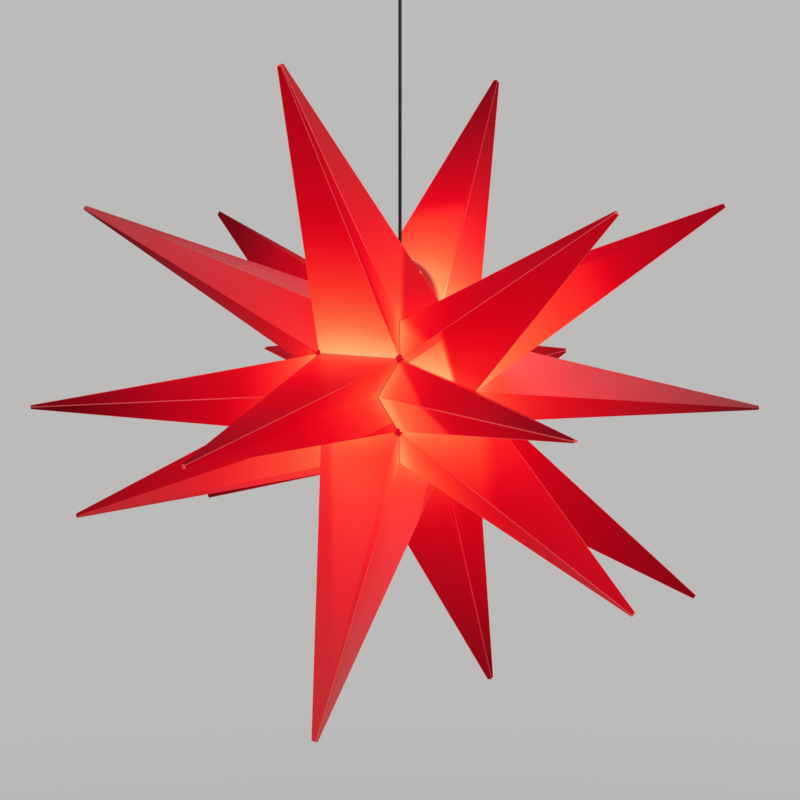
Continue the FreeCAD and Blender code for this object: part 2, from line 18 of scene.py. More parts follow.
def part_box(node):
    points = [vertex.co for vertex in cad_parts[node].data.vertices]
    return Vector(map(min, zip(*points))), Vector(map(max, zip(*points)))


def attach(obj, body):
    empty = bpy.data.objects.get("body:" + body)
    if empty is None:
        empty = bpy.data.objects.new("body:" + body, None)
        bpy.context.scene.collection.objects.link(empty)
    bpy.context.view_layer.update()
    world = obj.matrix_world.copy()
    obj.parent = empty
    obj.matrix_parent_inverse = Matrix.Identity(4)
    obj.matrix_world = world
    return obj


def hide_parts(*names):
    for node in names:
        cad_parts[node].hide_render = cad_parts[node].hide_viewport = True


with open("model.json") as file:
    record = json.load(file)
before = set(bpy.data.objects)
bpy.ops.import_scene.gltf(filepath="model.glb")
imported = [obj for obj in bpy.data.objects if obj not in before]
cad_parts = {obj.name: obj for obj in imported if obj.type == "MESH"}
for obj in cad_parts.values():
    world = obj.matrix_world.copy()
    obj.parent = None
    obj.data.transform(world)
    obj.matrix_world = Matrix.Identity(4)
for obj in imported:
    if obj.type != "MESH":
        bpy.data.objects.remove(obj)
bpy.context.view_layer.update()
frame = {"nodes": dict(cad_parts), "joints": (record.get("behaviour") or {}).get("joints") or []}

NODES = frame["nodes"]
JOINTS = {joint["name"]: joint for joint in frame["joints"]}
print("nodes:", len(NODES), "joints:", sorted(JOINTS))

# %% [markdown]
# The star turns on its cord about a joint at its centre, so the frame already knows that point. The camera,
# the lamps and the spikes' directions are all measured from it.

# %% Where the star's centre is
CENTRE = Vector(JOINTS["star_turn"]["pos_m"])
SPIKES = sorted(name for name in NODES if "_spike_" in name)
print("star centre", [round(x, 4) for x in CENTRE], "spikes", len(SPIKES))

# %% [markdown]
# ## The camera
#
# The view is nearly level and a third of a right angle round from the star's front. A long lens from three
# metres keeps the spikes' perspective as mild as it should be. The star sits a little above the picture's
# middle, which the lens shift does.

# %% The camera
IMAGE_SIDE = 800
AZIMUTH = math.radians(31.0)
ELEVATION = math.radians(7.5)
DISTANCE = 2.94
SENSOR = 36.0
PIXELS_PER_METRE = 732.0
STAR_ROW = 386.0
SIGHT = 50.0

back = Vector((math.sin(AZIMUTH) * math.cos(ELEVATION), -math.cos(AZIMUTH) * math.cos(ELEVATION),
               math.sin(ELEVATION)))
camera_data = bpy.data.cameras.new("camera")
camera_data.sensor_width = SENSOR
camera_data.lens = PIXELS_PER_METRE * DISTANCE * SENSOR / IMAGE_SIDE
camera_data.shift_y = (STAR_ROW - IMAGE_SIDE / 2) / IMAGE_SIDE
camera_data.clip_end = SIGHT
camera = bpy.data.objects.new("camera", camera_data)
camera.location = CENTRE + back * DISTANCE
camera.rotation_mode = "QUATERNION"
camera.rotation_quaternion = (-back).to_track_quat("-Z", "Y")
bpy.context.scene.collection.objects.link(camera)
bpy.context.scene.camera = camera
print("lens", round(camera_data.lens, 1), "mm")

# %% [markdown]
# ## A small language for shader maths
#
# Finishes are easier to read as sums than as wires. One small class wraps a socket, so that adding two
# values in Python adds a Math node, and one method makes any other node from its settings and its inputs.


# %% Values that can be added up
class Value:
    def __init__(self, graph, socket):
        self.graph = graph
        self.socket = socket

    def __add__(self, other):
        return self.graph.maths("ADD", self, other)

    def __sub__(self, other):
        return self.graph.maths("SUBTRACT", self, other)

    def __rsub__(self, other):
        return self.graph.maths("SUBTRACT", other, self)

    def __mul__(self, other):
        return self.graph.maths("MULTIPLY", self, other)

    __radd__ = __add__
    __rmul__ = __mul__


print("values ready")


# %% One material's nodes
class Graph:
    def __init__(self, name):
        self.material = bpy.data.materials.new(name)
        self.material.use_nodes = True
        self.tree = self.material.node_tree
        self.tree.nodes.clear()
        self.shader = self.tree.nodes.new("ShaderNodeBsdfPrincipled")
        output = self.tree.nodes.new("ShaderNodeOutputMaterial")
        self.tree.links.new(self.shader.outputs["BSDF"], output.inputs["Surface"])

    def node(self, kind, out, settings=(), inputs=()):
        made = self.tree.nodes.new(kind)
        for key, value in dict(settings).items():
            setattr(made, key, value)
        for key, value in dict(inputs).items():
            self.feed(made.inputs[key], value)
        return Value(self, made.outputs[out])

    def feed(self, socket, value):
        if isinstance(value, Value):
            self.tree.links.new(value.socket, socket)
        else:
            socket.default_value = value

    def maths(self, operation, first, second):
        return self.node("ShaderNodeMath", 0, {"operation": operation}, {0: first, 1: second})

    def between(self, value, low, high):
        # 0 at low, 1 at high, smooth between
        return self.node("ShaderNodeMapRange", 0, {"interpolation_type": "SMOOTHSTEP"},
                         {"Value": value, "From Min": low, "From Max": high})

    def ramp(self, value, stops):
        made = self.tree.nodes.new("ShaderNodeValToRGB")
        band = made.color_ramp
        while len(band.elements) < len(stops):
            band.elements.new(0.5)
        for element, (place, colour) in zip(band.elements, stops):
            element.position = place
            element.color = (*colour, 1.0)
        self.feed(made.inputs["Fac"], value)
        return Value(self, made.outputs["Color"])

    def mix(self, share, first, second):
        made = self.tree.nodes.new("ShaderNodeMix")
        made.data_type = "RGBA"
        self.feed(made.inputs["Factor"], share)
        for key, value in (("A", first), ("B", second)):
            socket = [item for item in made.inputs if item.name == key and item.type == "RGBA"][0]
            self.feed(socket, value if isinstance(value, Value) else (*value, 1.0))
        return Value(self, [item for item in made.outputs if item.type == "RGBA"][0])

    def place(self):
        return self.node("ShaderNodeTexCoord", "Object")

    def height(self):
        return self.node("ShaderNodeSeparateXYZ", "Z", {}, {0: self.place()})

    def distance_from(self, point):
        return self.node("ShaderNodeVectorMath", "Value", {"operation": "DISTANCE"},
                         {0: self.place(), 1: tuple(point)})

    def noise(self, scale, detail=3.0):
        return self.node("ShaderNodeTexNoise", "Fac", {},
                         {"Vector": self.place(), "Scale": scale, "Detail": detail})

    def attribute(self, name):
        return self.node("ShaderNodeAttribute", "Fac", {"attribute_name": name})

    def bump(self, height, distance, strength=1.0):
        return self.node("ShaderNodeBump", "Normal", {},
                         {"Height": height, "Distance": distance, "Strength": strength})

    def glow_over(self, share, colour):
        # a plain glow covers what the material shows so far by a share
        glow = self.node("ShaderNodeEmission", "Emission", {}, {"Color": (*colour, 1.0), "Strength": 1.0})
        blend = self.node("ShaderNodeMixShader", 0, {}, {0: share})
        output = [item for item in self.tree.nodes if item.type == "OUTPUT_MATERIAL"][0]
        self.tree.links.new(output.inputs["Surface"].links[0].from_socket, blend.socket.node.inputs[1])
        self.tree.links.new(glow.socket, blend.socket.node.inputs[2])
        self.tree.links.new(blend.socket, output.inputs["Surface"])
        return self.material

    def set(self, **sockets):
        for key, value in sockets.items():
            if isinstance(value, tuple) and len(value) == 3:
                value = (*value, 1.0)
            self.feed(self.shader.inputs[key.replace("_", " ")], value)
        return self.material


print("material helper ready")


# %% Put a material on a piece
def cover(piece, material):
    piece.data.materials.clear()
    piece.data.materials.append(material)


def dress(material, *names):
    # the frame's own nodes keep their shapes and get a material
    for name in names:
        cover(NODES[name], material)
    print(material.name, "on", *names)


print("dressing helpers ready")

# %% [markdown]
# ## Tools for modelling by hand
#
# An operator acts on everything that is selected, and loading the frame leaves its pieces selected. So each
# step clears the selection first and then picks what it works on. A finished piece keeps its place in its
# mesh, with its object at the origin, as the frame's pieces do.


# %% Select and shape
def clear_selection():
    if bpy.context.object and bpy.context.object.mode != "OBJECT":
        bpy.ops.object.mode_set(mode="OBJECT")
    bpy.ops.object.select_all(action="DESELECT")


def pick(piece):
    clear_selection()
    bpy.context.view_layer.objects.active = piece
    piece.select_set(True)


def pick_faces(piece, wanted):
    bpy.ops.object.mode_set(mode="EDIT")
    bpy.ops.mesh.select_mode(type="FACE")
    bpy.ops.mesh.select_all(action="DESELECT")
    bpy.ops.object.mode_set(mode="OBJECT")
    for polygon in piece.data.polygons:
        polygon.select = wanted(polygon)
    bpy.ops.object.mode_set(mode="EDIT")


def on_top(face):
    return face.normal.z > 0.9


def modify(piece, kind, **settings):
    modifier = piece.modifiers.new(kind.lower(), kind)
    for key, value in settings.items():
        setattr(modifier, key, value)
    pick(piece)
    bpy.ops.object.modifier_apply(modifier=modifier.name)


def round_edges(piece, width, segments, degrees):
    modify(piece, "BEVEL", width=width, segments=segments, limit_method="ANGLE",
           angle_limit=math.radians(degrees))


def smooth(piece, degrees):
    pick(piece)
    bpy.ops.object.shade_smooth_by_angle(angle=math.radians(degrees))


print("shaping tools ready")


# %% Name, settle, copy and join
def named(name):
    piece = bpy.context.active_object
    piece.name = name
    piece.data.name = name
    return piece


def settle(piece):
    # the object goes back to the origin, and its place is kept in its mesh
    pick(piece)
    bpy.ops.object.transform_apply(location=True, rotation=True, scale=True)
    return piece


def cylinder(name, sides, radius, foot, head):
    # stands on the world's axis between two heights
    clear_selection()
    bpy.ops.mesh.primitive_cylinder_add(vertices=sides, radius=radius, depth=head - foot,
                                        location=(0.0, 0.0, (foot + head) / 2))
    return settle(named(name))


def join(name, pieces):
    clear_selection()
    for piece in pieces:
        piece.select_set(True)
    bpy.context.view_layer.objects.active = pieces[0]
    bpy.ops.object.join()
    return named(name)


def placed_copy(piece, name, place, out, up, turn):
    # a copy at a place, its own Z pointing out and turned about it
    turned = out.to_track_quat("Z", up).to_matrix().to_4x4()
    copy = bpy.data.objects.new(name, piece.data.copy())
    bpy.context.scene.collection.objects.link(copy)
    copy.data.transform(Matrix.Translation(place) @ turned @ Matrix.Rotation(turn, 4, "Z"))
    return copy


def discard(piece):
    data = piece.data
    bpy.data.objects.remove(piece)
    bpy.data.meshes.remove(data)


def merged(name):
    # a working copy of a node, whose loose triangles share their corners
    work = bmesh.new()
    work.from_mesh(NODES[name].data)
    bmesh.ops.remove_doubles(work, verts=work.verts, dist=1e-6)
    return work


print("piece tools ready")

# %% [markdown]
# ## The sheets of the star
#
# Every spike is one sheet of red plastic, scored, folded into a hollow point and glued along a flap. Its
# corners are exact in the frame, so the sheet is drawn between them as a fine grid, side by side, rather
# than pulled out of a primitive that would have to be forced onto those corners. The first step reads its
# folds: they are the long edges that run from the outer ring of the sharp end to the open end.

# %% Read a spike's folds
TIP_ZONE = 0.48
LONG_EDGE = 0.25
SHEET = 0.0006
LEAST_FOLD = math.radians(3.0)


def turn_about(axis, point):
    side = axis.orthogonal().normalized()
    return math.atan2(point.dot(axis.cross(side)), point.dot(side))


def spike_outline(name):
    # the corners of the open end, and the other end of each fold
    work = merged(name)
    tips = [v for v in work.verts if (v.co - CENTRE).length > TIP_ZONE]
    axis = sum((v.co - CENTRE for v in tips), Vector()).normalized()
    highest = max((v.co - CENTRE).dot(axis) for v in tips)
    folds = []
    for v in tips:
        if (v.co - CENTRE).dot(axis) < highest - SHEET / 2:
            continue
        for edge in v.link_edges:
            if edge.calc_length() > LONG_EDGE and edge.calc_face_angle(0.0) > LEAST_FOLD:
                folds.append((edge.other_vert(v).co.copy(), v.co.copy()))
    work.free()
    folds.sort(key=lambda fold: turn_about(axis, fold[0] - CENTRE))
    return [fold[0] for fold in folds], [fold[1] for fold in folds]


OUTLINES = {name: spike_outline(name) for name in SPIKES}
for name, (corners, ring) in OUTLINES.items():
    longest = max((a - b).length for a, b in zip(corners, ring))
    print(name, len(corners), "folds, longest", round(longest, 3), "m")

# %% [markdown]
# A sheet is never quite flat between its folds. Each side gets a slight bow of its own, nothing at the
# folds and nothing at the open end, where it has to meet its neighbours. Beside the cord the two top sheets
# are pushed apart, as the cord pushes them on the lamp. The grid is finer near the open end, where the
# light changes fastest.

# %% Measures of the grid
ACROSS = 8
ALONG = 26
EVEN_STEPS = 0.45
BOW = 0.0016
BOW_RANGE = (-0.5, 1.0)
BOW_SKEW = 0.7
SEAM_SPIKES = {"middle_spike_1": -1.0, "middle_spike_6": 1.0}
SEAM_TOP, SEAM_FOOT = -0.503, -0.54
SEAM_STRETCH = 0.6
CORD_WAY = 0.0031
CORD_REACH = 0.024
rng = np.random.default_rng(18)
print("grid of a side:", ACROSS, "by", ALONG)


# %% Draw one spike
def grid_share(step):
    share = step / ALONG
    return EVEN_STEPS * share + (1 - EVEN_STEPS) * share * share


def beside_cord(name, point):
    # the closing seam's two rims lie either side of the cord, which stands on the star's own axis
    if name not in SEAM_SPIKES:
        return point
    gone = math.hypot(point.x, max(0.0, SEAM_TOP - point.z) * SEAM_STRETCH)
    if gone > CORD_REACH or point.z < SEAM_FOOT or abs(point.y) > CORD_WAY:
        return point
    push = (CORD_WAY - abs(point.y)) * math.cos(0.5 * math.pi * gone / CORD_REACH) ** 0.5
    return point + Vector((0.0, SEAM_SPIKES[name] * push, 0.0))


def side_normal(corners, ring, side):
    following = (side + 1) % len(corners)
    return (corners[following] - corners[side]).cross(ring[side] - corners[side]).normalized()


def spike_grid(name):
    corners, ring = OUTLINES[name]
    count = len(corners)
    middle = sum(corners, Vector()) / count
    rows = []
    bows = rng.uniform(*BOW_RANGE, count) * BOW
    for step in range(ALONG + 1):
        share = grid_share(step)
        rise = math.sin(math.pi * share ** BOW_SKEW)
        row = []
        for side in range(count):
            following = (side + 1) % count
            a = corners[side].lerp(ring[side], share)
            b = corners[following].lerp(ring[following], share)
            normal = side_normal(corners, ring, side)
            if normal.dot(corners[side] + ring[side] - middle * 2) < 0:
                normal = -normal
            for part in range(ACROSS):
                point = a.lerp(b, part / ACROSS)
                bulge = bows[side] * rise * math.sin(math.pi * part / ACROSS)
                row.append(beside_cord(name, point + normal * bulge))
        rows.append(row)
    return rows, count


print("one row of a middle spike:", len(spike_grid("middle_spike_2")[0][0]), "points")

# %% [markdown]
# The glow of a side depends on more than its distance from the bulb. Sheets in front of the bulb shade some
# sides, and folded edges cut the direct light off along soft lines. Both are kept as lengths: how much
# further from the bulb a side seems at its open end, halfway and at its sharp end, and how much nearer it
# seems where direct light falls. A side that the table leaves out, or calls usual, gets the usual shade
# with a small shift of its own.

# %% How each side is shaded
USUAL = (0.05, 0.07, 0.10)
USUAL_SHIFT = (-0.02, 0.03)
SHIFT_GROWTH = (1.0, 1.5, 2.0)
SHADES = {
    "left_spike_1": ((0.08, 0.24, 0.34), (0.09, 0.05, 0.09), (0.08, 0.22, 0.16), USUAL),
    "left_spike_2": (USUAL, (0.01, 0.09, 0.45), (0.02, 0.12, 0.42), USUAL),
    "left_spike_3": ((0.09, 0.00, 0.00), (0.05, -0.03, -0.08), (0.02, 0.09, 0.16), USUAL),
    "left_spike_4": (USUAL, USUAL, (0.20, 0.30, 0.28), USUAL),
    "left_spike_6": (USUAL, (0.00, 0.12, 0.44), (0.05, 0.14, 0.50), USUAL),
    "middle_spike_1": ((0.055, 0.03, 0.00), (0.14, 0.085, 0.085), USUAL,
                       USUAL, USUAL, (0.00, 0.00, -0.02)),
    "middle_spike_2": (USUAL, USUAL, USUAL,
                       (0.080, 0.01, -0.075), (0.075, 0.005, -0.065), (0.080, 0.080, 0.27)),
    "middle_spike_3": ((0.090, 0.005, 0.05), (0.070, 0.015, -0.09), (0.105, 0.015, -0.08),
                       USUAL, USUAL, USUAL),
    "middle_spike_4": ((0.10, 0.10, 0.16), (0.095, 0.12, 0.14), USUAL,
                       USUAL, USUAL, (0.07, 0.08, 0.24)),
    "middle_spike_6": ((-0.04, -0.01, 0.08), (-0.01, -0.02, 0.24), USUAL,
                       USUAL, USUAL, (0.025, 0.01, 0.31)),
    "right_spike_1": (USUAL, USUAL, (0.10, 0.08, 0.09), (0.13, 0.01, -0.11)),
    "right_spike_2": (USUAL, USUAL, (0.11, 0.08, 0.36), (0.09, 0.02, 0.14)),
    "right_spike_3": (USUAL, USUAL, (0.07, 0.03, -0.05), (0.05, 0.01, -0.06)),
    "right_spike_4": (USUAL, USUAL, USUAL, (0.08, 0.14, 0.18)),
    "right_spike_5": (USUAL, USUAL, (0.06, 0.06, 0.30), (0.075, 0.05, 0.26)),
    "right_spike_6": (USUAL, USUAL, USUAL, (0.025, -0.055, 0.12)),
}
print("shaded spikes:", len(SHADES))

# %% [markdown]
# Some sides face the lamps of the room and get a painted sheen: their colour is made a little paler, as
# glossy plastic looks under soft light. The table gives how strong that painted sheen is, at the open end
# and at the sharp end. A number below nothing at the open end makes the sheen start further along.

# %% Which sides get a painted sheen
PAINTED_SHEENS = {
    ("left_spike_1", 1): (0.02, 0.22),
    ("left_spike_1", 2): (0.02, 0.12),
    ("left_spike_3", 0): (0.06, 0.22),
    ("left_spike_3", 1): (0.06, 0.30),
    ("middle_spike_1", 1): (0.04, 0.16),
    ("middle_spike_3", 0): (0.30, 0.52),
    ("middle_spike_3", 1): (0.08, 0.20),
    ("middle_spike_3", 2): (0.00, 0.17),
    ("right_spike_3", 3): (-0.20, 0.26),
    ("right_spike_5", 2): (0.12, 0.16),
}
print("pale sides:", len(PAINTED_SHEENS))

# %% [markdown]
# Most folds catch the light along their edge and show it as a painted highlight, a thin pale line. Some
# are too flat for that.

# %% Folds without a painted highlight
PLAIN_FOLDS = {
    "left_spike_1": (1, 2),
    "left_spike_3": (1, 2),
    "left_spike_6": (2,),
    "middle_spike_2": (0, 1, 3, 4),
    "middle_spike_3": (2,),
    "middle_spike_4": (1,),
    "middle_spike_6": (0,),
    "right_spike_2": (2,),
    "right_spike_5": (3,),
}
print("folds without a line:", sum(map(len, PLAIN_FOLDS.values())))

# %% [markdown]
# A line where direct light ends is given by two places on its side, each as a share across and a share
# along, then one place that is lit, the length gained by the lit part, and how soft the line is. Where
# nothing is gained, the line only ends the dark band of the glue flap, which shows in direct light alone.

# %% Where direct light ends
LIGHT_ENDS = {
    ("middle_spike_1", 0): ((0.0, 0.12), (1.0, 0.12), (0.5, 0.9), 0.0, 0.030),
    ("middle_spike_1", 1): ((1.07, 0.258), (0.09, 0.007), (0.1, 0.2), 0.09, 0.006),
    ("middle_spike_3", 2): ((0.84, 0.117), (0.54, 0.542), (0.0, 0.2), 0.03, 0.006),
    ("middle_spike_6", 5): ((0.14, 0.393), (1.11, 0.431), (0.9, 0.0), 0.05, 0.020),
    ("right_spike_1", 2): ((-0.02, 0.02), (1.06, 0.14), (0.9, 0.0), 0.06, 0.010),
    ("right_spike_1", 3): ((-0.02, 0.211), (0.62, 0.034), (0.0, 0.0), 0.11, 0.005),
    ("right_spike_2", 2): ((0.06, 0.008), (1.02, 0.257), (1.0, 0.0), 0.06, 0.005),
    ("right_spike_2", 3): ((0.03, 0.249), (0.71, 0.301), (0.5, 0.0), 0.06, 0.008),
    ("right_spike_3", 2): ((0.19, 0.152), (0.64, 0.319), (1.0, 0.0), 0.035, 0.014),
}


def on_side(name, side, across, along):
    corners, ring = OUTLINES[name]
    following = (side + 1) % len(corners)
    near = corners[side].lerp(corners[following], across)
    far = ring[side].lerp(ring[following], across)
    return near.lerp(far, along)


print("sides with a light line:", len(LIGHT_ENDS))

# %% [markdown]
# The glue flap is a narrow second layer inside one side of each sheet. The frame has it as a few extra
# points close inside that side, so the side and the fold that it starts from are found by looking for them.
# The flap shows as a darker band, which narrows away from the open end. Three spikes show it over a longer
# stretch.

# %% Find the flaps
FLAP_WIDTH = 0.0145
FLAP_SLACK = 0.002
LAYER = 0.0015
FLAP_ZONE = 0.022
FLAP_TAPER = 0.2
FLAP_REACH = {"middle_spike_1": 0.50, "right_spike_1": 0.25, "right_spike_6": 0.25}


def flap_points(points, foot, inward, normal):
    # how many points lie inside the side, a flap's width away from the fold
    found = 0
    for point in points:
        gap = point - foot
        inside = abs(gap.dot(normal)) < LAYER and gap.length < FLAP_ZONE
        if inside and abs(gap.dot(inward) - FLAP_WIDTH) < FLAP_SLACK:
            found += 1
    return found


def find_flap(name):
    corners, ring = OUTLINES[name]
    points = [vertex.co.copy() for vertex in NODES[name].data.vertices]
    best = (0, None)
    for side in range(len(corners)):
        following = (side + 1) % len(corners)
        for fold, other in ((side, following), (following, side)):
            along = (ring[fold] - corners[fold]).normalized()
            inward = corners[other] - corners[fold]
            inward = (inward - along * inward.dot(along)).normalized()
            found = flap_points(points, corners[fold], inward, side_normal(corners, ring, side))
            if found > best[0]:
                best = (found, (side, fold))
    return best[1]


FLAPS = {name: find_flap(name) for name in SPIKES}
print("flaps:", FLAPS)

# %% [markdown]
# The shader needs to know where on its side a point lies. All these are straight distances in the side's
# own plane, so they are stored at the face corners and come out exact everywhere on the side: how far away
# both folds, the open end's rim, the flap's fold and the light's end are, beside the shade, the gain and
# the strength of the painted sheen of that place.

# %% Numbers at the face corners
FAR = 1.0
# pale holds the strength of the painted sheen
NUMBERS = {"fold_a": 0.0, "fold_b": 0.0, "rim": FAR, "shade": 0.0,
           "gain": 0.0, "pale": 0.0, "lit": FAR, "flap": FAR}


def line_distance(points, start, end, normal, towards):
    inward = normal.cross(end - start).normalized()
    way = 1.0 if (towards - start).dot(inward) > 0 else -1.0
    return np.array([(point - start).dot(inward) * way for point in points])


def usual_shade(shift):
    return tuple(part + growth * shift for part, growth in zip(USUAL, SHIFT_GROWTH))


def side_numbers(name, side, points, usual):
    corners, ring = OUTLINES[name]
    following = (side + 1) % len(corners)
    a, b, c, d = corners[side], corners[following], ring[side], ring[following]
    normal = side_normal(corners, ring, side)
    beside_a = line_distance(points, a, c, normal, b)
    beside_b = line_distance(points, b, d, normal, a)
    rim = line_distance(points, a, b, normal, c)
    along = rim / (c - a).length
    plain = PLAIN_FOLDS.get(name, ())
    shade = SHADES[name][side] if name in SHADES else USUAL
    numbers = {
        "fold_a": FAR if side in plain else beside_a,
        "fold_b": FAR if following in plain else beside_b,
        "rim": rim,
        "shade": np.interp(along, (0.0, 0.5, 1.0), usual if shade is USUAL else shade),
        "pale": np.interp(along, (0.0, 1.0), PAINTED_SHEENS.get((name, side), (0.0, 0.0))),
    }
    if (name, side) in LIGHT_ENDS:
        start, end, lit, gain, softness = LIGHT_ENDS[name, side]
        start, end, lit = [on_side(name, side, *place) for place in (start, end, lit)]
        numbers["lit"] = line_distance(points, start, end, normal, lit) / softness
        numbers["gain"] = gain
    flap_side, flap_fold = FLAPS[name]
    if flap_side == side:
        narrowed = np.maximum(rim - FLAP_REACH.get(name, 0.0), 0.0) * FLAP_TAPER
        numbers["flap"] = (beside_a if flap_fold == side else beside_b) + narrowed
    return numbers


def store_numbers(mesh, name, owners):
    values = {key: np.full(len(mesh.loops), start, np.float32) for key, start in NUMBERS.items()}
    shifts = rng.uniform(*USUAL_SHIFT, len(OUTLINES[name][0]))
    for side, shift in enumerate(shifts):
        own = [polygon for polygon in mesh.polygons if owners[polygon.index] == side]
        loops = [loop for polygon in own for loop in polygon.loop_indices]
        points = [mesh.vertices[mesh.loops[loop].vertex_index].co for loop in loops]
        for key, numbers in side_numbers(name, side, points, usual_shade(shift)).items():
            values[key][loops] = numbers
    for key, numbers in values.items():
        layer = mesh.attributes.new(key, "FLOAT", "CORNER")
        layer.data.foreach_set("value", numbers)


print("numbers at each corner:", *NUMBERS)

# %% [markdown]
# Now the eighteen sheets can be built. Each one is drawn round its spike, closed at the sharp end, given
# rounded folds by a Bevel and its real wall by a Solidify. It stands in for the frame's own node and turns
# with the star.

# %% Build the eighteen sheets
FOLD_ROUND = 0.0009


def build_spike(name):
    rows, count = spike_grid(name)
    width = count * ACROSS
    vertices = [point for row in rows for point in row]
    faces, owners = [], []
    for step in range(ALONG):
        low, high = step * width, (step + 1) * width
        for column in range(width):
            following = (column + 1) % width
            faces.append((low + column, low + following, high + following, high + column))
            owners.append(column // ACROSS)
    faces.append(tuple(ALONG * width + column for column in range(width)))
    owners.append(-1)
    mesh = bpy.data.meshes.new(name + "_sheet")
    mesh.from_pydata(vertices, [], faces)
    mesh.update()
    piece = bpy.data.objects.new(name + "_sheet", mesh)
    bpy.context.scene.collection.objects.link(piece)
    middle = sum(OUTLINES[name][0], Vector()) / count
    first = mesh.polygons[0]
    if first.normal.dot(first.center - middle) < 0:
        mesh.flip_normals()
    store_numbers(mesh, name, owners)
    return piece


SHEETS = {}
for name in SPIKES:
    sheet = build_spike(name)
    round_edges(sheet, FOLD_ROUND, 2, 20)
    modify(sheet, "SOLIDIFY", thickness=SHEET, offset=-1.0)
    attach(sheet, "star")
    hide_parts(name)
    SHEETS[name] = sheet
print("sheets:", len(SHEETS), "faces:", sum(len(s.data.polygons) for s in SHEETS.values()))

# %% [markdown]
# ## Red plastic with a bulb behind it
#
# The sheet is a glossy red plastic that lets light through. What comes through depends on how far a place
# is from the bulb, so the glow is a colour ramp on that distance: pale orange near the bulb, red further
# out, and almost none at the tips. Each stop of the ramp is a distance in metres and a colour.

# %% The glow's colours
BULB_LOW, BULB_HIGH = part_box("bulb_globe")
BULB = Vector((0.0, 0.0, (BULB_LOW.z + BULB_HIGH.z) / 2))
GLOW = (
    (0.100, (1.0, 0.50, 0.20)),
    (0.118, (0.92, 0.40, 0.155)),
    (0.130, (0.88, 0.332, 0.124)),
    (0.145, (0.87, 0.274, 0.102)),
    (0.162, (0.87, 0.162, 0.055)),
    (0.181, (0.87, 0.100, 0.037)),
    (0.200, (0.87, 0.057, 0.026)),
    (0.223, (0.87, 0.028, 0.017)),
    (0.246, (0.80, 0.011, 0.012)),
    (0.273, (0.70, 0.002, 0.010)),
    (0.302, (0.58, 0.0, 0.007)),
    (0.336, (0.49, 0.0, 0.006)),
    (0.377, (0.41, 0.0, 0.005)),
    (0.441, (0.335, 0.0, 0.005)),
    (0.520, (0.25, 0.0, 0.004)),
    (0.620, (0.16, 0.0, 0.003)),
    (0.750, (0.06, 0.0, 0.002)),
    (0.900, (0.0, 0.0, 0.0)),
)
NEAR, REACH = GLOW[0][0], GLOW[-1][0]
print("glow from", NEAR, "to", REACH, "m round", [round(x, 3) for x in BULB])

# %% [markdown]
# Three marks lie over that glow. A fold gets a painted highlight, a thin pale line that starts a little way
# up the spike. The rim of the open end gets a thin painted shade along its crease, with a soft zone of
# brighter painted glow behind it. The glue flap is a darker band, because the light has to pass two layers
# there. A faint broad mottle keeps the plastic from looking printed.

# %% The sheet's material
FLAP_SHADE, FLAP_SOFT = 0.035, 0.0005
# painted light marks: a brighter glow behind the rim, a highlight along the folds, a shade in the rim's
# crease
RIM_GLOW, RIM_GAIN = (0.002, 0.035), 0.018
FOLD_LINE, FOLD_START = (0.0004, 0.0010), (0.050, 0.150)
FOLD_GLOW, FOLD_GLOW_SHARE = (0.95, 0.14, 0.13), 0.30
FOLD_HIGHLIGHT_RED, FOLD_HIGHLIGHT_RED_SHARE = (0.45, 0.10, 0.10), 0.4
CREASE, CREASE_SHADE_GLOW, CREASE_SHARE = (0.0004, 0.0024), (0.25, 0.0, 0.004), 0.55
DEEP_RED, PAINTED_SHEEN_RED = (0.17, 0.001, 0.005), (0.30, 0.20, 0.20)
FINE_GRAIN, BROAD_GRAIN, MOTTLE = 900.0, 9.0, 0.02
GRAIN_DEPTH = 0.0002


def star_plastic():
    g = Graph("star_plastic")
    fine, broad = g.noise(FINE_GRAIN, 2.0), g.noise(BROAD_GRAIN, 2.0)
    lit = g.between(g.attribute("lit"), -1.0, 1.0)
    flap = 1 - g.between(g.attribute("flap"), FLAP_WIDTH - FLAP_SOFT, FLAP_WIDTH + FLAP_SOFT)
    # rim_glow: a painted brighter glow in a soft zone just behind the rim
    rim_glow = 1 - g.between(g.attribute("rim"), *RIM_GLOW)
    reach = g.distance_from(BULB) + g.attribute("shade") - lit * g.attribute("gain")
    reach = reach + flap * lit * FLAP_SHADE + (broad - 0.5) * MOTTLE - rim_glow * RIM_GAIN
    share = (reach - NEAR) * (1.0 / (REACH - NEAR))
    glow = g.ramp(share, [((stop - NEAR) / (REACH - NEAR), colour) for stop, colour in GLOW])
    # painted highlight: a thin pale line along each fold, in the glow and in the colour
    fold = 1 - g.between(g.maths("MINIMUM", g.attribute("fold_a"), g.attribute("fold_b")), *FOLD_LINE)
    fold = fold * g.between(g.attribute("rim"), *FOLD_START)
    # painted shade: the glow darkens in a thin line along the rim's crease
    crease_shade = 1 - g.between(g.attribute("rim"), *CREASE)
    glow = g.mix(crease_shade * CREASE_SHARE, glow, CREASE_SHADE_GLOW)
    glow = g.mix(fold * FOLD_GLOW_SHARE, glow, FOLD_GLOW)
    # painted sheen: sides that face the room's lamps are made paler
    colour = g.mix(g.attribute("pale"), DEEP_RED, PAINTED_SHEEN_RED)
    colour = g.mix(fold * FOLD_HIGHLIGHT_RED_SHARE, colour, FOLD_HIGHLIGHT_RED)
    return g.set(Base_Color=colour, Roughness=broad * 0.10 + 0.28, Specular_IOR_Level=0.035,
                 Emission_Color=glow, Emission_Strength=1.0, Normal=g.bump(fine, GRAIN_DEPTH, 0.25))


STAR_PLASTIC = star_plastic()
for sheet in SHEETS.values():
    cover(sheet, STAR_PLASTIC)
print("sheet material on", len(SHEETS))

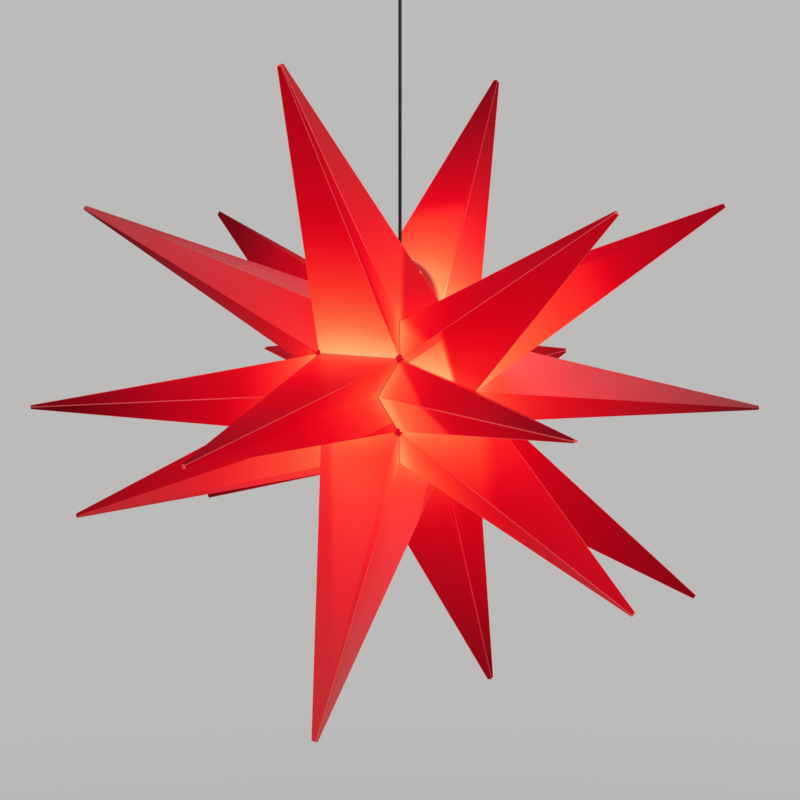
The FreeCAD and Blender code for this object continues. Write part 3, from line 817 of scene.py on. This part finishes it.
# %% [markdown]
# ## Knots where the corners meet
#
# Six sharp corners of the sheets meet at each of ten places and are held together there. On the lamp each
# place shows a small red knot, redder than the glowing sheets round it. The frame has one plain tie at each
# place, and its outer end gives the place of the knot.

# %% Read the ten places
def loose_parts(name):
    # walked in the mesh's own order, so every run finds the parts in the same order
    work = merged(name)
    seen = set()
    parts = []
    for start in work.verts:
        if start in seen:
            continue
        seen.add(start)
        front, part = [start], []
        while front:
            vertex = front.pop()
            part.append(vertex.co.copy())
            for edge in vertex.link_edges:
                other = edge.other_vert(vertex)
                if other not in seen:
                    seen.add(other)
                    front.append(other)
        parts.append(part)
    work.free()
    return parts


def tie_end(points):
    # the way out from the star's centre, and how far out the tie ends
    out = (sum(points, Vector()) / len(points) - CENTRE).normalized()
    return out, max((point - CENTRE).dot(out) for point in points)


TIES = [tie_end(points) for points in loose_parts("corner_ties")]
print("ties:", len(TIES), "the first ends", round(TIES[0][1], 4), "m from the centre")

# %% [markdown]
# One knot is modelled at the world's centre: a low button with a sunk top and a rounded edge, and two
# crossed stitches over it. It is copied to every place and turned to look away from the star.

# %% Model one knot
BUTTON_RADIUS, BUTTON_HEIGHT = 0.0055, 0.0020
DISH_RIM, DISH_DEPTH = 0.0013, 0.0006
BOSS_RIM, BOSS_RISE = 0.0008, 0.0002
BUTTON_ROUND = 0.0005
STITCH_LENGTH, STITCH_WIDTH = 0.0058, 0.0015
STITCH_SINK, STITCH_STEP = 0.0002, 0.0003
button = cylinder("button", 32, BUTTON_RADIUS, 0.0, BUTTON_HEIGHT)
pick_faces(button, on_top)
for rim, rise in ((DISH_RIM, -DISH_DEPTH), (BOSS_RIM, BOSS_RISE)):
    bpy.ops.mesh.inset(thickness=rim)
    bpy.ops.transform.translate(value=(0.0, 0.0, rise))
settle(button)
round_edges(button, BUTTON_ROUND, 3, 30)
stitches = []
for turn in (0.0, math.pi / 2):
    clear_selection()
    bpy.ops.mesh.primitive_uv_sphere_add(segments=20, ring_count=12, radius=0.5, location=(0.0, 0.0, 0.0))
    stitch = named("stitch")
    stitch.scale = (STITCH_LENGTH, STITCH_WIDTH, STITCH_WIDTH)
    settle(stitch)
    lift = BUTTON_HEIGHT - STITCH_SINK + turn * STITCH_STEP
    stitch.data.transform(Matrix.Translation((0.0, 0.0, lift)) @ Matrix.Rotation(turn, 4, "Z"))
    stitches.append(stitch)
knot = join("knot", [button, *stitches])
print("one knot:", len(knot.data.polygons), "faces")

# %% Set the ten knots
KNOT_LIFT = 0.0012
KNOT_TURN = 0.7
copies = []
for number, (out, end) in enumerate(TIES):
    place = CENTRE + out * (end - BUTTON_HEIGHT + KNOT_LIFT)
    copies.append(placed_copy(knot, f"knot_{number}", place, out, "Y", KNOT_TURN * number))
discard(knot)
KNOTS = join("corner_knots", copies)
smooth(KNOTS, 35.0)
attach(KNOTS, "star")
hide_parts("corner_ties")


def knot_plastic():
    g = Graph("knot_plastic")
    grain = g.noise(700.0)
    colour = g.mix(grain, (0.10, 0.001, 0.003), (0.16, 0.002, 0.006))
    # a painted red glow: the knot is no lamp, yet it glows like the lit sheets round it
    glow = g.mix(grain, (0.55, 0.0, 0.009), (0.68, 0.0, 0.012))
    return g.set(Base_Color=colour, Roughness=grain * 0.2 + 0.42, Specular_IOR_Level=0.05,
                 Emission_Color=glow, Emission_Strength=1.0, Normal=g.bump(grain, 0.0003, 0.4))


cover(KNOTS, knot_plastic())
print("knots set:", len(TIES))

# %% [markdown]
# ## The closing tabs and their tape
#
# The star closes round the cord along its top seam. Two half discs of the same red sheet stand up there,
# with hook and loop tape between them. No light passes through them from inside, so they look duller than
# the spikes. Their paler, pinkish colour is a painted sheen of the room's light, and their cut edge gets a
# painted highlight. Their shape in the frame is right, so only a finish is added: it follows the distance
# from the middle of the seam, and a little painted red glow creeps up from the seam.

# %% Finish the tabs
TAB_LOW, TAB_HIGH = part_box("closing_tab_front")
TAB_RADIUS = (TAB_HIGH.x - TAB_LOW.x) / 2
SEAM = Vector((0.0, 0.0, TAB_LOW.z))
EDGE_HIGHLIGHT_INNER, EDGE_HIGHLIGHT_OUTER = 0.0022, 0.0006
CREEP_START, CREEP_END = 0.004, 0.040


def tab_plastic():
    g = Graph("tab_plastic")
    edge = g.between(g.distance_from(SEAM), TAB_RADIUS - EDGE_HIGHLIGHT_INNER, TAB_RADIUS - EDGE_HIGHLIGHT_OUTER)
    low = 1 - g.between(g.height(), SEAM.z + CREEP_START, SEAM.z + CREEP_END)
    cloudy, fine = g.noise(60.0), g.noise(FINE_GRAIN, 2.0)
    # painted sheen: the tabs' red is made paler and pinker by the room's light
    colour = g.mix(cloudy * 0.5, (0.42, 0.055, 0.050), (0.55, 0.12, 0.105))
    # painted highlight along the cut edge
    colour = g.mix(edge * 0.75, colour, (0.56, 0.24, 0.19))
    # painted red glow creeping up from the seam, and a painted highlight on the cut edge
    glow = g.mix(low, (0.05, 0.0, 0.001), (0.42, 0.0, 0.004))
    glow = g.mix(edge * 0.7, glow, (0.50, 0.07, 0.030))
    return g.set(Base_Color=colour, Roughness=cloudy * 0.1 + 0.42, Specular_IOR_Level=0.12,
                 Emission_Color=glow, Emission_Strength=1.0, Normal=g.bump(fine, GRAIN_DEPTH, 0.3))


dress(tab_plastic(), "closing_tab_front", "closing_tab_back")
print("tabs of radius", round(TAB_RADIUS, 3))

# %% [markdown]
# The tape's two halves are a dense pile of small hooks and loops. A Voronoi pattern gives their even
# speckle, both in the colour and as a bump.


# %% Finish the tape
def tape_fabric():
    g = Graph("tape_fabric")
    hooks = g.node("ShaderNodeTexVoronoi", "Distance", {}, {"Vector": g.place(), "Scale": 900.0})
    colour = g.mix(hooks, (0.62, 0.30, 0.27), (0.34, 0.09, 0.08))
    colour = g.mix(g.noise(120.0) * 0.3, colour, (0.5, 0.16, 0.14))
    return g.set(Base_Color=colour, Roughness=0.9, Specular_IOR_Level=0.2,
                 Normal=g.bump(hooks, 0.0006, 0.8))


dress(tape_fabric(), "tape_hooks", "tape_loops")

# %% [markdown]
# ## The cord
#
# A black round cord carries the whole star. It comes out of the collar in the ceiling cup and goes down
# through the closing seam into the cord grip, and the star's weight keeps it straight. It is a curve with a
# round bevel on the line of the frame's own cord.

# %% The cord
CORD_LOW, CORD_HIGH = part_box("hanging_cord")
CORD_RADIUS = (CORD_HIGH.x - CORD_LOW.x) / 2
ROUTE_SHARES = (0.0, 0.1, 0.35, 0.65, 0.9, 1.0)
route = [(0.0, 0.0, CORD_HIGH.z + (CORD_LOW.z - CORD_HIGH.z) * share) for share in ROUTE_SHARES]
curve = bpy.data.curves.new("cord", "CURVE")
curve.dimensions = "3D"
spline = curve.splines.new("NURBS")
spline.points.add(len(route) - 1)
for point, place in zip(spline.points, route):
    point.co = (*place, 1.0)
    point.radius = CORD_RADIUS
spline.order_u = 3
spline.use_endpoint_u = True
curve.bevel_depth = 1.0
curve.bevel_resolution = 5
curve.resolution_u = 12
curve.use_fill_caps = True
cord = bpy.data.objects.new("cord", curve)
bpy.context.scene.collection.objects.link(cord)
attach(cord, "pendant")
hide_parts("hanging_cord")


# %% The cord's jacket
def cord_jacket():
    g = Graph("cord_jacket")
    grain = g.noise(600.0, 2.0)
    return g.set(Base_Color=(0.008, 0.008, 0.008), Roughness=grain * 0.2 + 0.4,
                 Normal=g.bump(grain, 0.0002, 0.2))


cover(cord, cord_jacket())
print("jacket on the cord")

# %% [markdown]
# ## The ceiling fitting
#
# A black moulded cup hides a zinc plated steel plate, screwed to the ceiling, and a terminal block. The
# cord leaves the cup through a ball that can turn, so that the cord hangs plumb. The parts' shapes come
# from the frame, and each gets the finish of what it is made of. A moulded plastic has two near colours
# that drift into each other, a grain that breaks its gloss, and the same grain as a faint bump.


# %% Moulded plastics
def moulded(name, colour, shade, grain=500.0, depth=0.0003, rough=(0.38, 0.20), specular=0.4):
    g = Graph(name)
    fine, broad = g.noise(grain, 4.0), g.noise(25.0, 2.0)
    return g.set(Base_Color=g.mix(broad, colour, shade), Roughness=fine * rough[1] + rough[0],
                 Specular_IOR_Level=specular, Normal=g.bump(fine, depth, 0.5))


CUP_PLASTIC = moulded("cup_plastic", (0.020, 0.020, 0.021), (0.030, 0.030, 0.031), grain=1400.0, depth=0.0004)
HOLDER_PLASTIC = moulded("holder_plastic", (0.014, 0.014, 0.014), (0.024, 0.023, 0.022), rough=(0.30, 0.15))
BLOCK_PLASTIC = moulded("block_plastic", (0.78, 0.76, 0.68), (0.72, 0.69, 0.60), rough=(0.45, 0.15))
BULB_WHITE = moulded("bulb_white", (0.82, 0.82, 0.80), (0.78, 0.77, 0.74), rough=(0.35, 0.15))
BULB_BLACK = moulded("bulb_black", (0.015, 0.015, 0.016), (0.03, 0.03, 0.032), rough=(0.12, 0.08))
CERAMIC = moulded("ceramic", (0.80, 0.79, 0.75), (0.74, 0.72, 0.67), grain=180.0, rough=(0.14, 0.10),
                  specular=0.6)
dress(CUP_PLASTIC, "ceiling_cup")
dress(HOLDER_PLASTIC, "swivel_ball", "cord_grip", "holder_cap", "holder_body")
dress(BLOCK_PLASTIC, "terminal_block")
dress(CERAMIC, "holder_insert")
dress(BULB_WHITE, "bulb_housing")
dress(BULB_BLACK, "bulb_insulator")

# %% [markdown]
# The plate, the cord stop and the screws are zinc plated steel, dull and a little cloudy. The contacts and
# the threaded shell of the lampholder are brass, and the bulb's own shell is bright nickel plate.


# %% Metals
def metal(name, colour, shade, grain, rough=(0.28, 0.22)):
    g = Graph(name)
    fine, broad = g.noise(grain, 4.0), g.noise(40.0)
    return g.set(Base_Color=g.mix(broad, colour, shade), Metallic=1.0,
                 Roughness=fine * rough[1] + rough[0], Normal=g.bump(fine, 0.0002, 0.35))


ZINC_STEEL = metal("zinc_steel", (0.36, 0.37, 0.37), (0.26, 0.27, 0.28), 260.0, rough=(0.55, 0.20))
BRASS = metal("brass", (0.74, 0.56, 0.26), (0.62, 0.44, 0.18), 300.0)
BULB_SHELL = metal("bulb_shell", (0.75, 0.75, 0.76), (0.62, 0.62, 0.63), 400.0, rough=(0.2, 0.15))
dress(ZINC_STEEL, "ceiling_plate", "cord_stop", "cord_stop_screw")
dress(BRASS, "terminal_screws", "threaded_shell", "centre_contact")
dress(BULB_SHELL, "bulb_base", "bulb_contact")

# %% [markdown]
# Two pan head screws hold the cup to the plate's lugs. Their heads show on the cup's sides, so they are
# modelled with a domed head and a cross recess, cut by two small bars.

# %% Model one cup screw
SCREW_LOW, SCREW_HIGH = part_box("cup_screws")
HEAD_RADIUS = (SCREW_HIGH.x - SCREW_LOW.x) / 2
HEAD_HEIGHT = 0.0024
CROWN_RIM, CROWN_DROP, CROWN_EDGE = 0.0009, 0.0009, 0.0004
SCREW_ROUND = 0.0003
RECESS_BAR = (0.0044, 0.0010, 0.0026)
SHANK_RADIUS, SHANK_LENGTH = 0.0020, 0.0042
head = cylinder("screw_head", 40, HEAD_RADIUS, 0.0, HEAD_HEIGHT)
pick_faces(head, on_top)
bpy.ops.mesh.inset(thickness=CROWN_RIM)
bpy.ops.object.mode_set(mode="OBJECT")
for vertex in head.data.vertices:
    if vertex.co.z > HEAD_HEIGHT / 2 and vertex.co.xy.length > HEAD_RADIUS - CROWN_EDGE:
        vertex.co.z -= CROWN_DROP
round_edges(head, SCREW_ROUND, 3, 20)
for turn in (0.0, math.pi / 2):
    clear_selection()
    bpy.ops.mesh.primitive_cube_add(size=1.0, location=(0.0, 0.0, HEAD_HEIGHT), rotation=(0.0, 0.0, turn))
    bar = named("recess_bar")
    bar.scale = RECESS_BAR
    settle(bar)
    modify(head, "BOOLEAN", operation="DIFFERENCE", object=bar, solver="EXACT")
    discard(bar)
shank = cylinder("screw_shank", 24, SHANK_RADIUS, -SHANK_LENGTH, 0.0)
round_edges(shank, SCREW_ROUND, 2, 30)
screw = join("cup_screw", [head, shank])
print("one screw:", len(screw.data.polygons), "faces")

# %% Set both cup screws
CUP_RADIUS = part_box("ceiling_cup")[1].x
SCREW_HEIGHT = (SCREW_LOW.z + SCREW_HIGH.z) / 2
FIRST_TURN = 0.4
sides = []
for number, way in enumerate((-1.0, 1.0)):
    place = (0.0, way * CUP_RADIUS, SCREW_HEIGHT)
    sides.append(placed_copy(screw, f"cup_screw_{number}", place, Vector((0.0, way, 0.0)), "X",
                             FIRST_TURN + number))
discard(screw)
CUP_SCREWS = join("cup_side_screws", sides)
smooth(CUP_SCREWS, 25.0)
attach(CUP_SCREWS, "ceiling_fitting")
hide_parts("cup_screws")
cover(CUP_SCREWS, ZINC_STEEL)
print("cup screws set:", len(sides))

# %% [markdown]
# ## The bulb
#
# The bulb's opal cover is the one lamp inside the star. It is seen only from close by when the star is
# open, so the frame's shape stays, with a warm white glow that is strongest at the bottom of the cover.


# %% Finish the cover
def opal_cover():
    g = Graph("opal_cover")
    share = g.between(g.height(), BULB_LOW.z, BULB_HIGH.z)
    fine = g.noise(300.0, 2.0)
    return g.set(Base_Color=(0.90, 0.88, 0.82), Roughness=fine * 0.1 + 0.25, Emission_Strength=1.0,
                 Emission_Color=g.mix(share, (1.0, 0.86, 0.62), (0.92, 0.70, 0.44)))


dress(opal_cover(), "bulb_globe")

# %% [markdown]
# ## Light and floor
#
# The floor is pale and matt, and lies a real room's height under the ceiling, so that a look from below
# still sees the star. A lamp that hangs so far above throws only a faint shadow on it. With distance the
# floor fades into the colour of the air behind it, so no horizon shows from any side. The backdrop is
# bright only for the camera. Reflections see a dim room, as in the photograph, so the sheets keep their
# deep red.

# %% The floor
FLOOR_DROP, FLOOR_RADIUS = 3.3, 30.0
FLOOR_COLOUR = (0.80, 0.79, 0.77)
PALE, DIM = (0.50, 0.495, 0.485), (0.07, 0.07, 0.07)
FADE_START, FADE_END = 1.5, 8.0
clear_selection()
bpy.ops.mesh.primitive_circle_add(vertices=96, radius=FLOOR_RADIUS, fill_type="NGON",
                                  location=(0.0, 0.0, 0.0))
floor = named("floor")
floor.data.transform(Matrix.Translation((0.0, 0.0, -FLOOR_DROP)))


def floor_finish():
    g = Graph("floor_finish")
    g.set(Base_Color=FLOOR_COLOUR, Roughness=0.9, Specular_IOR_Level=0.1)
    away = g.between(g.distance_from((0.0, 0.0, -FLOOR_DROP)), FADE_START, FADE_END)
    g.glow_over(away * g.node("ShaderNodeLightPath", "Is Camera Ray"), PALE)
    return g.glow_over(g.node("ShaderNodeLightPath", "Is Glossy Ray"), DIM)


cover(floor, floor_finish())
print("floor at", -FLOOR_DROP)

# %% [markdown]
# The world's soft light falls on everything alike. Over it lie the dim room that reflections see and the
# pale backdrop that the camera sees, each let through by its own kind of ray.

# %% The air around
AIR_COLOUR, AIR_LIGHT = (1.0, 0.99, 0.97), 0.38
world = bpy.data.worlds.new("studio")
world.use_nodes = True
bpy.context.scene.world = world
tree = world.node_tree
soft = tree.nodes["Background"]
soft.inputs["Color"].default_value = (*AIR_COLOUR, 1.0)
soft.inputs["Strength"].default_value = AIR_LIGHT
path = tree.nodes.new("ShaderNodeLightPath")
last = soft.outputs[0]
for name, colour, ray in (("room", DIM, "Is Glossy Ray"), ("backdrop", PALE, "Is Camera Ray")):
    seen = tree.nodes.new("ShaderNodeBackground")
    seen.name = name
    seen.inputs["Color"].default_value = (*colour, 1.0)
    blend = tree.nodes.new("ShaderNodeMixShader")
    tree.links.new(path.outputs[ray], blend.inputs[0])
    tree.links.new(last, blend.inputs[1])
    tree.links.new(seen.outputs[0], blend.inputs[2])
    last = blend.outputs[0]
tree.links.new(last, tree.nodes["World Output"].inputs["Surface"])
print("air light", AIR_LIGHT)

# %% [markdown]
# Four large soft lamps look at the star from above and from both sides. They are wide, so their reflections
# on the glossy sheets stay soft too.


# %% The lamps
def lamp(name, place, size, power):
    data = bpy.data.lights.new(name, "AREA")
    data.size = size
    data.energy = power
    light = bpy.data.objects.new(name, data)
    light.location = CENTRE + Vector(place)
    light.rotation_mode = "QUATERNION"
    light.rotation_quaternion = (CENTRE - light.location).to_track_quat("-Z", "Y")
    bpy.context.scene.collection.objects.link(light)


lamp("above_front", (0.8, -1.5, 2.5), 1.0, 36.0)
lamp("above_back", (-0.3, 1.6, 2.5), 1.0, 36.0)
lamp("right", (2.7, 0.5, 1.2), 1.0, 34.0)
lamp("left", (-2.1, -1.8, 1.4), 1.2, 24.0)
print("lamps: above_front, above_back, right, left")

# %% Finish
bpy.context.scene.view_settings.view_transform = "Standard"
